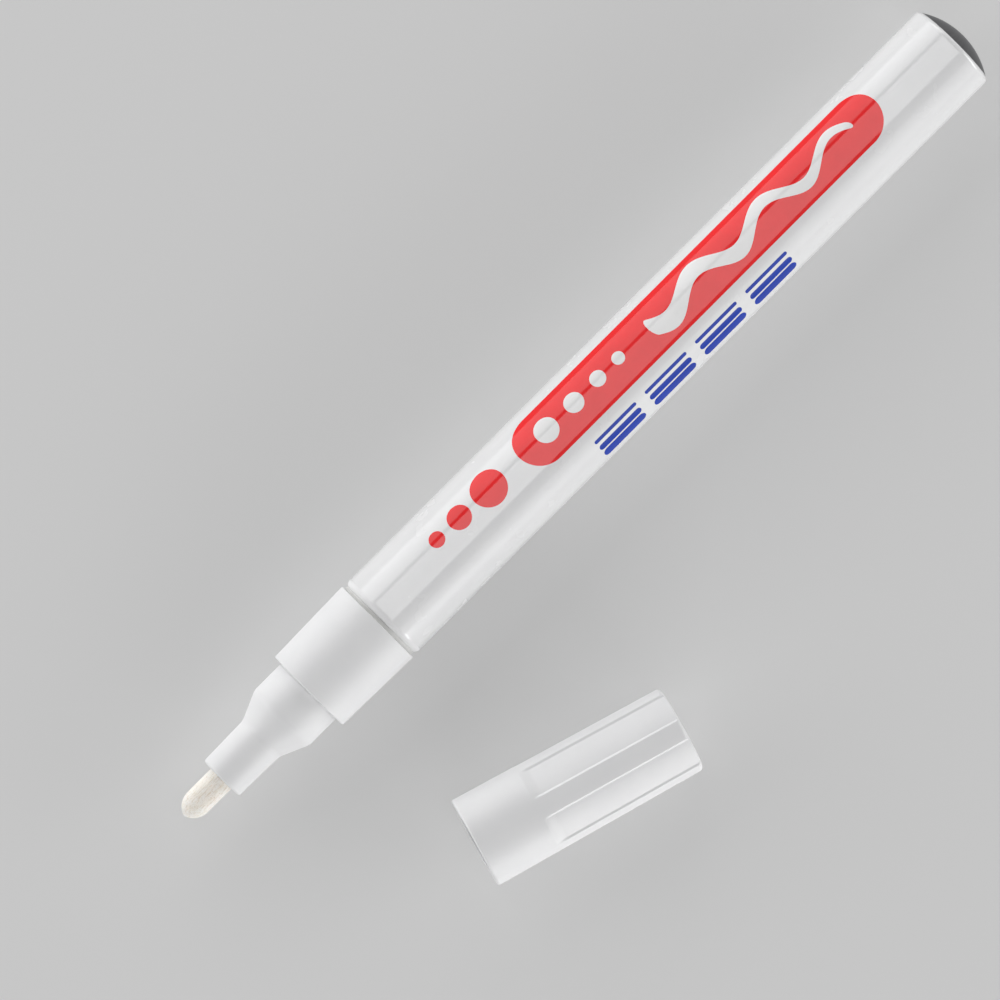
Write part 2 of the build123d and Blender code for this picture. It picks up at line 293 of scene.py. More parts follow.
def baked(name, tree, mesh=None, **values):
    """What a shape tree makes of a mesh, as a plain mesh."""
    host = bpy.data.objects.new(name, mesh or bpy.data.meshes.new(name))
    bpy.context.scene.collection.objects.link(host)
    modifier = host.modifiers.new(tree.name, "NODES")
    modifier.node_group = tree
    for item in tree.interface.items_tree:
        if item.in_out == "INPUT" and item.name in values:
            modifier[item.identifier] = values[item.name]
    graph = bpy.context.evaluated_depsgraph_get()
    made = bpy.data.meshes.new_from_object(host.evaluated_get(graph))
    host.modifiers.clear()
    bpy.data.objects.remove(host)
    return made


def position(tree):
    """Where each point is, as three fields."""
    return parts_of(tree, tree.nodes.new("GeometryNodeInputPosition").outputs[0])


def numbering(tree):
    """Each point's number in its row."""
    return Field(tree, tree.nodes.new("GeometryNodeInputIndex").outputs[0])


def moved(tree, geometry, spot):
    """Points set to a new position."""
    return node(tree, "GeometryNodeSetPosition", {"Geometry": geometry, "Position": spot}).outputs[0]


def welded(tree, geometry):
    """Points that fall together made one."""
    return node(tree, "GeometryNodeMergeByDistance",
                {"Geometry": geometry, "Distance": PRINT_WELD}).outputs[0]


def drawn_in(tree, given, spot, scale):
    """The given mesh, with each point's distance from the X axis scaled."""
    x, y, z = spot
    shaped = moved(tree, given["Geometry"], vector_of(tree, x, y * scale, z * scale))
    return close_tree(tree, shaped, given)


def flute_tree():
    """Long shallow flutes sunk into a turned cap, between lands, from a scooped start to the closed end."""
    tree, given = shape_tree("cap flutes", Count="Float", Land="Float", Start="Float", Corner="Float",
                             Wall="Float", Scoop="Float", Mouth="Float", Draft="Float", Crown="Float",
                             Middle="Float")
    x, y, z = position(tree)
    radius = y.hypot(z)
    step = given["Count"].inverse() * FULL_TURN
    turn = (y.maths("ARCTAN2", z) / step).maths("FRACT")
    off = (turn - 0.5) * step
    surface = given["Mouth"] - x * given["Draft"]
    rim = given["Mouth"] - given["Start"] * given["Draft"]
    # Floor: a circle of larger radius than the cap, lowest in the middle of the flute
    shift = rim - given["Middle"] - given["Crown"]
    aside = shift * off.maths("SINE")
    floor = shift * off.maths("COSINE") + (given["Crown"] * given["Crown"] - aside * aside).maths("SQRT")
    # Plan of a flute: how far a point lies inside its round-cornered outline
    half = (step - given["Land"]) * 0.5
    side = given["Corner"] - (half - off.maths("ABSOLUTE")) * rim
    end = given["Corner"] - (x - given["Start"])
    inside = (given["Corner"] - side.maths("MAXIMUM", 0.0).hypot(end.maths("MAXIMUM", 0.0))
              - side.maths("MAXIMUM", end).maths("MINIMUM", 0.0))
    scoop = ((x - given["Start"]) / given["Scoop"]).smooth(0.0, 1.0)
    sunk = (inside / given["Wall"]).smooth(0.0, 1.0) * scoop * (rim - floor)
    scale = radius.maths("MINIMUM", surface - sunk) / radius.maths("MAXIMUM", ON_AXIS)
    return drawn_in(tree, given, (x, y, z), scale)


def coil_tree():
    """Compression spring: open turns between two closer end turns, ground flat at both ends."""
    tree, given = shape_tree("valve coil", Front="Float", Rear="Float", Radius="Float", Wire="Float",
                             Active="Float", EndPitch="Float", Points="Int", Sides="Int")
    line = node(tree, "GeometryNodeMeshLine", {"Count": given["Points"]})
    turn = numbering(tree) / (given["Points"] - 1.0) * (given["Active"] + 2.0)
    working = (turn - 1.0).maths("MAXIMUM", 0.0).maths("MINIMUM", given["Active"])
    pitch = (given["Front"] - given["Rear"] - given["EndPitch"] * 2.0) / given["Active"]
    rise = (turn - working) * given["EndPitch"] + working * pitch
    angle = turn * FULL_TURN
    across, up = angle.maths("COSINE") * given["Radius"], angle.maths("SINE") * given["Radius"]
    helix = moved(tree, line.outputs[0], vector_of(tree, given["Front"] - rise, across, up))
    path = node(tree, "GeometryNodeMeshToCurve", {"Mesh": helix})
    wire = node(tree, "GeometryNodeCurvePrimitiveCircle",
                {"Resolution": given["Sides"], "Radius": given["Wire"] * 0.5})
    solid = node(tree, "GeometryNodeCurveToMesh",
                 {"Curve": path.outputs[0], "Profile Curve": wire.outputs[0], "Fill Caps": True})
    x, y, z = position(tree)
    flat = x.maths("MINIMUM", given["Front"]).maths("MAXIMUM", given["Rear"])
    ground = moved(tree, solid.outputs[0], vector_of(tree, flat, y, z))
    return close_tree(tree, ground, given)


def stroke_tree():
    """Screen print: round-ended strokes, laid out flat in a growing row, then wrapped on the barrel."""
    tree, given = shape_tree("printed strokes", Barrel="Float", Lift="Float", Film="Float", From="Float",
                             Across="Float", Length="Float", Width="Float", Copies="Int", Gap="Float",
                             Spread="Float", Growth="Float", Wave="Float", WaveLength="Float", Swell="Float",
                             Steps="Int", Lanes="Int")
    flat = node(tree, "GeometryNodeMeshGrid", {"Size X": 2.0, "Size Y": 2.0,
                                               "Vertices X": given["Steps"], "Vertices Y": given["Lanes"]})
    u, v, _ = position(tree)
    # Outline of one stroke: round ends, along a wave, swelling towards its front
    reach, round_end = given["Length"] * 0.5, given["Width"] * 0.5
    along = (u * QUARTER_TURN).maths("SINE") * reach
    past = (along.maths("ABSOLUTE") - (reach - round_end)).maths("MAXIMUM", 0.0)
    half = (round_end * round_end - past * past).maths("MAXIMUM", 0.0).maths("SQRT")
    share = along / given["Length"] + 0.5
    thick = half * (share * given["Swell"] + 1.0)
    crest = (along / given["WaveLength"] * FULL_TURN).maths("SINE") * given["Wave"]
    sheet = welded(tree, moved(tree, flat.outputs[0], vector_of(tree, along, v * thick + crest, 0.0)))
    # Closed film of ink
    raised = node(tree, "GeometryNodeExtrudeMesh", {"Mesh": sheet, "Offset": (0, 0, 1),
                                                    "Offset Scale": given["Film"], "Individual": False})
    under = node(tree, "GeometryNodeFlipFaces", {"Mesh": sheet})
    both = tree.nodes.new("GeometryNodeJoinGeometry")
    tree.links.new(raised.outputs[0], both.inputs[0])
    tree.links.new(under.outputs[0], both.inputs[0])
    film = welded(tree, both.outputs[0])
    # Row of strokes
    row = node(tree, "GeometryNodeMeshLine", {"Count": given["Copies"], "Offset": (0, 0, 0)}).outputs[0]
    index = numbering(tree)
    spot = given["From"] + index * given["Gap"] + index * index * given["Spread"]
    row = moved(tree, row, vector_of(tree, spot, given["Across"], 0.0))
    size = given["Growth"].maths("POWER", index)
    copies = node(tree, "GeometryNodeInstanceOnPoints",
                  {"Points": row, "Instance": film, "Scale": vector_of(tree, size, size, 1.0)}).outputs[0]
    laid = node(tree, "GeometryNodeRealizeInstances", {"Geometry": copies}).outputs[0]
    # Wrapped on the barrel
    x, y, z = position(tree)
    angle, radius = y / given["Barrel"], given["Barrel"] + given["Lift"] + z
    across, up = angle.maths("SINE") * radius, angle.maths("COSINE") * radius
    return close_tree(tree, moved(tree, laid, vector_of(tree, x, across, up)), given)


def fibre_tree():
    """Nib felted from long fibres: fine ridges along it, sunk below the turned shape."""
    tree, given = shape_tree("nib fibres", Radius="Float", Depth="Float", Fineness="Float", Stretch="Float")
    x, y, z = position(tree)
    radius = y.hypot(z).maths("MAXIMUM", ON_AXIS)
    spot = vector_of(tree, x * given["Stretch"], y * given["Fineness"], z * given["Fineness"])
    ridge = noise_of(tree, spot, 1.0, detail=3.0, roughness=0.6).smooth(0.3, 0.7) * given["Depth"]
    scale = (radius - ridge * (radius / given["Radius"])) / radius
    return drawn_in(tree, given, (x, y, z), scale)


# Shared effects

def colour(red, green, blue):
    """An opaque colour."""
    return (red, green, blue, 1.0)


def blend(tree, share, one, two):
    """Colour one where share is 0, colour two where it is 1."""
    return node(tree, "ShaderNodeMix", {0: share, 6: one, 7: two}, data_type="RGBA").outputs[2]


def effect_group(name, outputs, **inputs):
    """Empty shader group with named inputs and outputs."""
    tree = bpy.data.node_groups.new(name, "ShaderNodeTree")
    add_sockets(tree, "INPUT", inputs)
    add_sockets(tree, "OUTPUT", outputs)
    return tree, given_to(tree), tree.nodes.new("NodeGroupOutput")


def make_mottle():
    """Soft clouds of a given size, between a low and a high value."""
    tree, given, end = effect_group("mottle", {"Value": "Float"}, Place="Vector", Size="Float", Low="Float",
                                    High="Float")
    clouds = noise_of(tree, given["Place"], given["Size"].inverse(), detail=3.0, roughness=0.55)
    put(tree, end.inputs["Value"], clouds.smooth(0.28, 0.72).between(given["Low"], given["High"]))
    return tree


def make_tint():
    """A colour that drifts a little lighter and darker over the surface."""
    tree, given, end = effect_group("tint drift", {"Colour": "Color"}, Place="Vector", Light="Color",
                                    Dark="Color", Size="Float")
    clouds = noise_of(tree, given["Place"], given["Size"].inverse(), detail=4.0, roughness=0.6)
    put(tree, end.inputs["Colour"], blend(tree, clouds.smooth(0.3, 0.7), given["Light"], given["Dark"]))
    return tree


def make_grain():
    """Fine even grain of a given size, as a height."""
    tree, given, end = effect_group("fine grain", {"Height": "Float"}, Place="Vector", Size="Float")
    grain = noise_of(tree, given["Place"], given["Size"].inverse(), detail=2.0, roughness=0.5)
    put(tree, end.inputs["Height"], grain)
    return tree


def make_streaks():
    """Lines drawn out along one direction, which Stretch squeezes; 0 to 1."""
    tree, given, end = effect_group("drawn streaks", {"Value": "Float"}, Place="Vector", Stretch="Vector")
    drawn = node(tree, "ShaderNodeVectorMath", {0: given["Place"], 1: given["Stretch"]},
                 operation="MULTIPLY")
    lines = noise_of(tree, drawn.outputs[0], 1.0, detail=4.0, roughness=0.65)
    put(tree, end.inputs["Value"], lines.smooth(0.25, 0.75))
    return tree


MOTTLE, TINT, GRAIN, STREAKS = make_mottle(), make_tint(), make_grain(), make_streaks()


# Finishes

# Where the can's lacquer begins and ends, and how glossy it is
COAT_END, COAT_RAGGED = (-48.92, -48.86), 0.05
MID_WALL, MID_ROLL, ROLL_START = (5.58, 5.62), (0.75, 0.8), (48.6, 48.65)
MATT_MOUTH, MATT = (48.75, 49.05), 0.4
CAN_GLOSS, ORANGE_PEEL = 0.07, 0.08
# How much finer the gloss is mottled than the tint drifts
GLOSS_SHARE = 0.6
# How far light goes into the natural plastics
MILKY = {"Subsurface_Weight": 0.2, "Subsurface_Radius": (0.001, 0.001, 0.001)}


def new_finish(name, **plain):
    """Material with plain values on its shader; gives it with its tree, shader and place in millimetres."""
    made = bpy.data.materials.new(name)
    made.use_nodes = True
    tree = made.node_tree
    shader = tree.nodes["Principled BSDF"]
    for label, value in plain.items():
        shader.inputs[label.replace("_", " ")].default_value = value
    spot = node(tree, "ShaderNodeMapping", {"Vector": tree.nodes.new("ShaderNodeTexCoord").outputs["Object"],
                                            "Scale": (1 / MM, 1 / MM, 1 / MM)})
    return made, tree, shader, spot.outputs[0]


def effect(tree, group, **inputs):
    """A shared effect placed in a material."""
    out = node(tree, "ShaderNodeGroup", inputs, node_tree=group).outputs[0]
    return out if out.type == "RGBA" else Field(tree, out)


def relief(tree, shader, height, depth):
    """Bump of a depth in millimetres."""
    bump = node(tree, "ShaderNodeBump", {"Height": height, "Distance": depth * MM, "Strength": 1.0})
    put(tree, shader.inputs["Normal"], bump.outputs[0])


def simple_finish(name, light, dark, rough, drift, grain=0.08, depth=0.002, **plain):
    """Moulded, rubber or printed finish: drifting tint, mottled gloss and a fine grain."""
    made, tree, shader, spot = new_finish(name, **plain)
    put(tree, shader.inputs["Base Color"],
        effect(tree, TINT, Place=spot, Light=colour(*light), Dark=colour(*dark), Size=drift))
    put(tree, shader.inputs["Roughness"],
        effect(tree, MOTTLE, Place=spot, Size=drift * GLOSS_SHARE, Low=rough[0], High=rough[1]))
    relief(tree, shader, effect(tree, GRAIN, Place=spot, Size=grain), depth)
    return made


def screen_ink(name, light, dark, **plain):
    """Ink as glossy as the can's lacquer."""
    return simple_finish(name, light, dark, rough=(0.5, 0.6), drift=4.0, grain=0.3, depth=0.0005,
                         Coat_Weight=1.0, Coat_Roughness=CAN_GLOSS, **plain)


def lacquered_can():
    """White gloss lacquer on a drawn can: matt on the rolled mouth, bare metal on the base and inside,
    painted dark as a dark reflection.
    """
    made, tree, shader, spot = new_finish("white_lacquer", IOR=1.5, Coat_Roughness=CAN_GLOSS)
    x, y, z = parts_of(tree, spot)
    radius = y.hypot(z)
    around = node(tree, "ShaderNodeVectorMath", {0: vector_of(tree, 0.0, y, z)}, operation="NORMALIZE")
    spun = effect(tree, STREAKS, Place=around.outputs[0], Stretch=(0, 26, 26))
    ragged = effect(tree, STREAKS, Place=around.outputs[0], Stretch=(0, 9, 9))
    # The lacquer lies ahead of a ragged edge at the base, and outside the middle of the wall and of its roll
    ahead = (x + ragged * COAT_RAGGED).smooth(*COAT_END)
    on_roll = (x - ROLL_X).hypot(radius - ROLL_RADIUS).smooth(*MID_ROLL) * x.smooth(*ROLL_START)
    coated = ahead * radius.smooth(*MID_WALL).maths("MAXIMUM", on_roll)
    bare = coated.flipped()
    rolled = x.smooth(*MATT_MOUTH)
    white = effect(tree, TINT, Place=spot, Light=colour(0.80, 0.80, 0.805), Dark=colour(0.78, 0.78, 0.787),
                   Size=6.0)
    # Bare metal far darker than aluminium: a painted dark reflection, with the spun streaks its own
    metal = blend(tree, spun, colour(0.085, 0.085, 0.09), colour(0.16, 0.16, 0.165))
    put(tree, shader.inputs["Base Color"], blend(tree, coated, metal, white))
    put(tree, shader.inputs["Metallic"], bare)
    put(tree, shader.inputs["Coat Weight"], coated * rolled.flipped())
    gloss = effect(tree, MOTTLE, Place=spot, Size=4.0, Low=0.22, High=0.28)
    dull = spun.between(0.36, 0.50)
    put(tree, shader.inputs["Roughness"], coated.between(dull, gloss) + rolled * MATT)
    peel = effect(tree, GRAIN, Place=spot, Size=1.4) * coated * ORANGE_PEEL
    relief(tree, shader, peel + spun * bare, depth=0.004)
    return made


def felt_fibre():
    """Cream fibre with darker lines along it, and a paler rubbed skin between them."""
    made, tree, shader, spot = new_finish("nib_felt", Sheen_Weight=0.15, Subsurface_Weight=0.8,
                                         Subsurface_Radius=(0.0012, 0.0011, 0.001), Subsurface_Scale=1.0)
    lines = effect(tree, STREAKS, Place=spot, Stretch=(0.9, 6.0, 6.0))
    broad = effect(tree, STREAKS, Place=spot, Stretch=(0.5, 1.6, 1.6))
    ends = effect(tree, GRAIN, Place=spot, Size=0.16)
    skin = blend(tree, broad, colour(0.95, 0.92, 0.88), colour(0.93, 0.88, 0.81))
    lined = blend(tree, lines.smooth(0.45, 1.0), skin, colour(0.80, 0.72, 0.62))
    felt = blend(tree, ends.smooth(0.56, 0.74), lined, colour(0.74, 0.66, 0.56))
    put(tree, shader.inputs["Base Color"], felt)
    put(tree, shader.inputs["Roughness"], lines.between(0.82, 0.92))
    relief(tree, shader, lines + ends, depth=0.03)
    return made


def drawn_steel(name, light, dark, rough, stretch):
    """Steel with fine drawing lines."""
    made, tree, shader, spot = new_finish(name, Metallic=1.0)
    lines = effect(tree, STREAKS, Place=spot, Stretch=stretch)
    put(tree, shader.inputs["Base Color"], blend(tree, lines, colour(*light), colour(*dark)))
    put(tree, shader.inputs["Roughness"], lines.between(*rough))
    relief(tree, shader, lines, depth=0.002)
    return made


LACQUER = lacquered_can()
MOULDING = simple_finish("white_moulding", light=(0.81, 0.81, 0.815), dark=(0.79, 0.79, 0.798),
                         rough=(0.46, 0.54), drift=5.0, grain=0.12, depth=0.0015, IOR=1.49)
# Gasket plastic greyed below the white mouldings: painted shade of the recess in the joint
SHADED_GASKET = simple_finish("gasket_plastic_painted_shade", light=(0.64, 0.64, 0.625), dark=(0.60, 0.60, 0.585),
                       rough=(0.5, 0.6), drift=1.5)
RED_INK = screen_ink("red_ink", light=(0.92, 0.010, 0.014), dark=(0.86, 0.008, 0.011),
                     Specular_IOR_Level=0.0)
BLUE_INK = screen_ink("blue_ink", light=(0.004, 0.040, 0.40), dark=(0.003, 0.034, 0.36),
                      Specular_IOR_Level=0.0)
WHITE_INK = screen_ink("white_ink", light=(0.84, 0.84, 0.84), dark=(0.81, 0.81, 0.81))
FELT = felt_fibre()
RUBBER = simple_finish("valve_seat_rubber", light=(0.035, 0.035, 0.037), dark=(0.022, 0.022, 0.023),
                       rough=(0.55, 0.7), drift=0.8, grain=0.05, depth=0.004)
VALVE_PLASTIC = simple_finish("natural_valve_plastic", light=(0.74, 0.75, 0.72), dark=(0.68, 0.70, 0.67),
                              rough=(0.3, 0.42), drift=2.0, **MILKY)
LINER_PLASTIC = simple_finish("natural_liner_plastic", light=(0.76, 0.77, 0.76), dark=(0.72, 0.73, 0.72),
                              rough=(0.32, 0.44), drift=3.0, **MILKY)
WIRE = drawn_steel("spring_wire", light=(0.66, 0.66, 0.67), dark=(0.50, 0.50, 0.51), rough=(0.22, 0.34),
                   stretch=(4.0, 2.0, 2.0))
BALL = drawn_steel("ball_steel", light=(0.70, 0.70, 0.71), dark=(0.60, 0.60, 0.61), rough=(0.08, 0.18),
                   stretch=(1.5, 3.0, 1.5))


# Marker

# Barrel: a can drawn from sheet, with a domed base and a mouth rolled in to a lip
DOME_X, DOME, DOME_INSIDE, BASE_EDGE = -40.549, 10.081, 9.281, 0.55
SHOULDER_X, SHOULDER_LENGTH, SHOULDER_DROP, BORE_FRONT = 48.75, 0.9, 0.6, 48.5
LIP_FRONT, LIP_BACK, LIP_FLAT, LIP_BORE, LIP_EDGE = 49.65, 49.20, 4.9, 4.25, 0.08
edge_x = DOME_X - math.sqrt((DOME - BASE_EDGE) ** 2 - (BARREL_RADIUS - BASE_EDGE) ** 2)
edge_turn = math.atan2(BARREL_RADIUS - BASE_EDGE, edge_x - DOME_X)
inner_turn = math.pi - math.asin(BORE / DOME_INSIDE)


def shoulder(start, end, off=0.0):
    """Points on the rolled-in shoulder of the mouth, an oval corner, or just off it."""
    middle = BARREL_RADIUS - SHOULDER_DROP
    return [(SHOULDER_X + (SHOULDER_LENGTH + off) * x, middle + (SHOULDER_DROP + off) * y)
            for x, y in arc((0, 0), 1.0, start, end)]


base = (arc((DOME_X, 0), DOME, math.pi, edge_turn)[1:]
        + arc((edge_x, BARREL_RADIUS - BASE_EDGE), BASE_EDGE, edge_turn, QUARTER_TURN)[1:])
lip = rounded([(LIP_FRONT, LIP_FLAT, 0), (LIP_FRONT, LIP_BORE, LIP_EDGE), (LIP_BACK, LIP_BORE, LIP_EDGE),
               (LIP_BACK, LIP_FLAT, 0)])
hollow = (arc((ROLL_X, ROLL_RADIUS), ROLL_INSIDE, 0, QUARTER_TURN) + [(BORE_FRONT, BORE)]
          + arc((DOME_X, 0), DOME_INSIDE, inner_turn, math.pi)[:-1])
barrel_line = ([(DOME_X - DOME, 0.0)] + base + [(edge_x + LEAD, BARREL_RADIUS), (ROLL_X, BARREL_RADIUS)]
               + shoulder(QUARTER_TURN, 0) + lip + hollow + [(DOME_X - DOME_INSIDE, 0.0)])
piece("barrel_can", turned("barrel_can", barrel_line), "marker", LACQUER, ["barrel"])

# Gasket: follows the shoulder a little way up, and is squeezed out to a lip in the joint
JOINT_X, GASKET_RADIUS, GASKET_GAP, GASKET_CLIMB = 50.10, 5.65, 0.01, 0.20
gasket_turn = math.asin(GASKET_CLIMB / (SHOULDER_DROP + GASKET_GAP))
gasket_line = shoulder(0, gasket_turn, GASKET_GAP) + rounded([
    (49.62, 5.61, 0), (49.655, GASKET_RADIUS, 0.03), (JOINT_X, GASKET_RADIUS, 0.05),
    (JOINT_X, LIP_BORE, LIP_EDGE), (LIP_FRONT + GASKET_GAP, LIP_BORE, LIP_EDGE),
    (LIP_FRONT + GASKET_GAP, 4.95, 0)], lead=0.04)
gasket_mesh = turned("joint_gasket", gasket_line, loop=True)
piece("joint_gasket", gasket_mesh, "marker", SHADED_GASKET, ["barrel_gasket"])

# Nib holder: spigot with its snap bead, collar with a fine groove at its foot, cap seat, cone, nose, bores
HOLDER_REAR, SPIGOT, SPIGOT_BORE = 41.60, 4.2, 3.0
BEAD_START, BEAD_TOP, BEAD_END, BEAD = 46.95, 48.45, 49.15, 4.5375
COLLAR_FRONT, COLLAR_END, GROOVE_FRONT, GROOVE = 61.97, 5.829, 62.14, 4.64
CONE_X, NOSE_X, NOSE_FRONT = 66.50, 70.15, 76.95
CAP_SEAT, NOSE_REAR, NOSE_END = 4.725, 3.12, 2.99
NIB_BORE, CONE_BORE, VALVE_STOP = 1.81, 2.5, 58.20
holder_line = rounded([
    (HOLDER_REAR, SPIGOT_BORE, 0.1), (HOLDER_REAR, SPIGOT, 0.3), (BEAD_START, SPIGOT, 0),
    (BEAD_TOP, BEAD, 0.3), (BEAD_END, BEAD, 0.1), (BEAD_END, SPIGOT, 0.05), (JOINT_X, SPIGOT, 0),
    (JOINT_X, COLLAR, 0.12), (COLLAR_FRONT, COLLAR_END, 0.2), (COLLAR_FRONT, GROOVE, 0),
    (GROOVE_FRONT, GROOVE, 0), (GROOVE_FRONT, CAP_SEAT, 0.04), (CONE_X, CAP_SEAT, 2.0),
    (NOSE_X, NOSE_REAR, 2.0), (NOSE_FRONT, NOSE_END, 0.3), (NOSE_FRONT, NIB_BORE, 0.12),
    (NOSE_X, NIB_BORE, 0.3), (CONE_X, CONE_BORE, 0.3), (VALVE_STOP, CONE_BORE, 0.1),
    (VALVE_STOP, SPIGOT_BORE, 0.05)], loop=True)
holder_mesh = turned("nib_holder", holder_line, loop=True)
piece("nib_holder", holder_mesh, "marker", MOULDING, ["front_section"])

# Nib: a straight rod with a bullet point, whose flank and tip are two arcs that touch
NIB_RADIUS, NIB_REAR, NIB_CHAMFER = 1.75, 59.80, 0.25
FLANK_X, FLANK_DROP, TIP_X, TIP = 80.985, 0.75, 83.0, 0.35
FLANK_END, TIP_START = math.atan2(0.872, 2.343), math.atan2(0.122, 0.328)
nib_rear = [(NIB_REAR, 0.0), (NIB_REAR, NIB_RADIUS - NIB_CHAMFER), (NIB_REAR + NIB_CHAMFER, NIB_RADIUS)]
nib_walls = [(x, NIB_RADIUS) for x in np.linspace(60.6, 80.6, 26)]
nib_flank = arc((FLANK_X, -FLANK_DROP), NIB_RADIUS + FLANK_DROP, QUARTER_TURN, FLANK_END)
nib_tip = arc((TIP_X, 0), TIP, TIP_START, 0)[1:-1] + [(TIP_X + TIP, 0.0)]
nib_rod = turned("fibre_nib", nib_rear + nib_walls + nib_flank + nib_tip, angles=160)
nib_mesh = baked("fibre_nib", fibre_tree(), nib_rod, Radius=NIB_RADIUS, Depth=0.03, Fineness=5.0,
                 Stretch=0.12, Finish=FELT)
piece("fibre_nib", nib_mesh, "nib_and_stem", FELT, ["nib"], crease=60)

# Valve coil at its resting length; the real coil shortens as the nib is pressed
COIL_FRONT, COIL_REAR, NIB_TRAVEL = 55.85, 37.40, 1.2
coil_mesh = baked("valve_coil", coil_tree(), Front=COIL_FRONT, Rear=COIL_REAR, Radius=1.325, Wire=0.35,
                  Active=8.0, EndPitch=0.9, Points=481, Sides=16, Finish=WIRE)
face_out(coil_mesh)
coil = piece("valve_coil", coil_mesh, "marker", WIRE, ["valve_spring"], crease=50)
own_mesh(coil)

# Screen print on the barrel: a plain band, a wavy stroke with dots on it, and a row of dashes
PRINT = stroke_tree()
FILM, PRINT_LINE = 0.008, -2.0


def print_row(ink, start, length, width, steps, lanes, across=PRINT_LINE, copies=1, gap=0.0, spread=0.0,
              growth=1.0, wave=0.0, wave_length=12.0, swell=0.0, lift=0.0):
    """One row of like strokes in one ink; across is measured round the barrel from its top."""
    return baked("strokes", PRINT, Barrel=BARREL_RADIUS, Lift=lift, Film=FILM, From=start, Across=across,
                 Length=length, Width=width, Copies=copies, Gap=gap, Spread=spread, Growth=growth, Wave=wave,
                 WaveLength=wave_length, Swell=swell, Steps=steps, Lanes=lanes, Finish=ink)


red_rows = [
    print_row(RED_INK, start=-6.5, length=61.0, width=7.2, steps=161, lanes=25),
    print_row(RED_INK, start=29.2, length=4.8, width=4.8, steps=61, lanes=25, copies=3, gap=5.6,
              spread=-0.6, growth=0.66)]
white_rows = [
    print_row(WHITE_INK, start=-15.5, length=35.0, width=1.1, steps=241, lanes=13, wave=1.25,
              wave_length=11.6, swell=1.4, lift=FILM),
    print_row(WHITE_INK, start=7.0, length=1.7, width=1.7, steps=61, lanes=13, copies=4, gap=3.2,
              spread=0.3, growth=1.24, lift=FILM)]
blue_rows = [
    print_row(BLUE_INK, start=-13.0, length=7.0, width=width, steps=81, lanes=9, across=across, copies=4,
              gap=8.6)
    for across, width in ((3.6, 0.5), (4.8, 0.9), (6.2, 1.4))]
for name, ink, rows in (("print_red", RED_INK, red_rows), ("print_white", WHITE_INK, white_rows),
                        ("print_blue", BLUE_INK, blue_rows)):
    piece(name, joined(name, rows), "marker", ink, crease=40)

# Ball that stirs the paint
BALL_RADIUS, BALL_CENTRE = 2.5, Vector((-45.85, 0, -2.95))
ball_mesh = turned("stirring_ball", arc((0, 0), BALL_RADIUS, math.pi, 0), angles=96)
piece("stirring_ball", ball_mesh, "ball", BALL, ["mixing_ball"],
      place=Matrix.Translation(BALL_CENTRE))


# Cap, drawn with its mouth at 0 and its closed end along +X, then laid beside the marker

CAP_MOUTH = Vector((60.82990605, 27.30820273, -0.01260768))
cap_in = -Vector((0.96041014, -0.27720814, 0.02771287))
cap_up = (Vector((0, 0, 1)) - cap_in * cap_in.z).normalized()
cap_place = Matrix.Translation(CAP_MOUTH) @ facing(cap_in, cap_up)

FLUTES, LAND, CAP_LENGTH, MOUTH_RADIUS, END_RADIUS = 5, 24.0, 28.8, 5.9, 5.65
SEAT_DEPTH, SEAT_BORE, CUP_SOCKET, CAP_FLOOR = 6.0, 4.77, 4.32, 27.6
SIDE_FIRST, SIDE_LAST = 28.0, 0.8
taper = (MOUTH_RADIUS - END_RADIUS) / CAP_LENGTH

# Mesh angles in degrees from the middle of a land to that of a flute, finest at the flute's wall
FLUTE_TURN = 360.0 / FLUTES
RUNS = ((0, 11.4, 6), (11.4, 14.4, 16), (14.4, 22.5, 16), (22.5, FLUTE_TURN / 2, 9))
half_flute = np.concatenate([np.linspace(*run, endpoint=False) for run in RUNS])
one_flute = np.concatenate([half_flute, [FLUTE_TURN / 2], FLUTE_TURN - half_flute[:0:-1]])
cap_angles = np.radians(np.concatenate([one_flute + FLUTE_TURN * i for i in range(FLUTES)]))


def cap_side(x):
    """Point on the cap's tapered side."""
    return (x, MOUTH_RADIUS - taper * x)


# Rows along the cap's side, finest where the flutes start
side_rows = np.concatenate([np.linspace(SIDE_FIRST, 11.5, 18), np.linspace(10.6, 8.4, 40),
                            np.linspace(7.5, SIDE_LAST, 8)])
end_line = rounded([(CAP_LENGTH, 0, 0), (CAP_LENGTH, END_RADIUS, 0.6), (*cap_side(SIDE_FIRST), 0)])[:-1]
mouth_line = rounded([(*cap_side(SIDE_LAST), 0), (0, MOUTH_RADIUS, 0.3), (0, SEAT_BORE, 0.12),
                      (SEAT_DEPTH, SEAT_BORE, 0.1), (SEAT_DEPTH, CUP_SOCKET, 0.1),
                      (CAP_FLOOR, CUP_SOCKET, 0.2), (CAP_FLOOR, 0, 0)])[1:]
cap_line = end_line + [cap_side(x) for x in side_rows] + mouth_line
cap_mesh = baked("cap_body", flute_tree(), turned("cap_body", cap_line, angles=cap_angles),
                 Count=float(FLUTES), Land=math.radians(LAND), Start=8.45, Corner=0.6, Wall=0.36, Scoop=1.7,
                 Mouth=MOUTH_RADIUS, Draft=taper, Crown=9.3, Middle=0.384, Finish=MOULDING)
piece("cap_body", cap_mesh, "cap", MOULDING, ["cap_shell"], place=cap_place, crease=35)

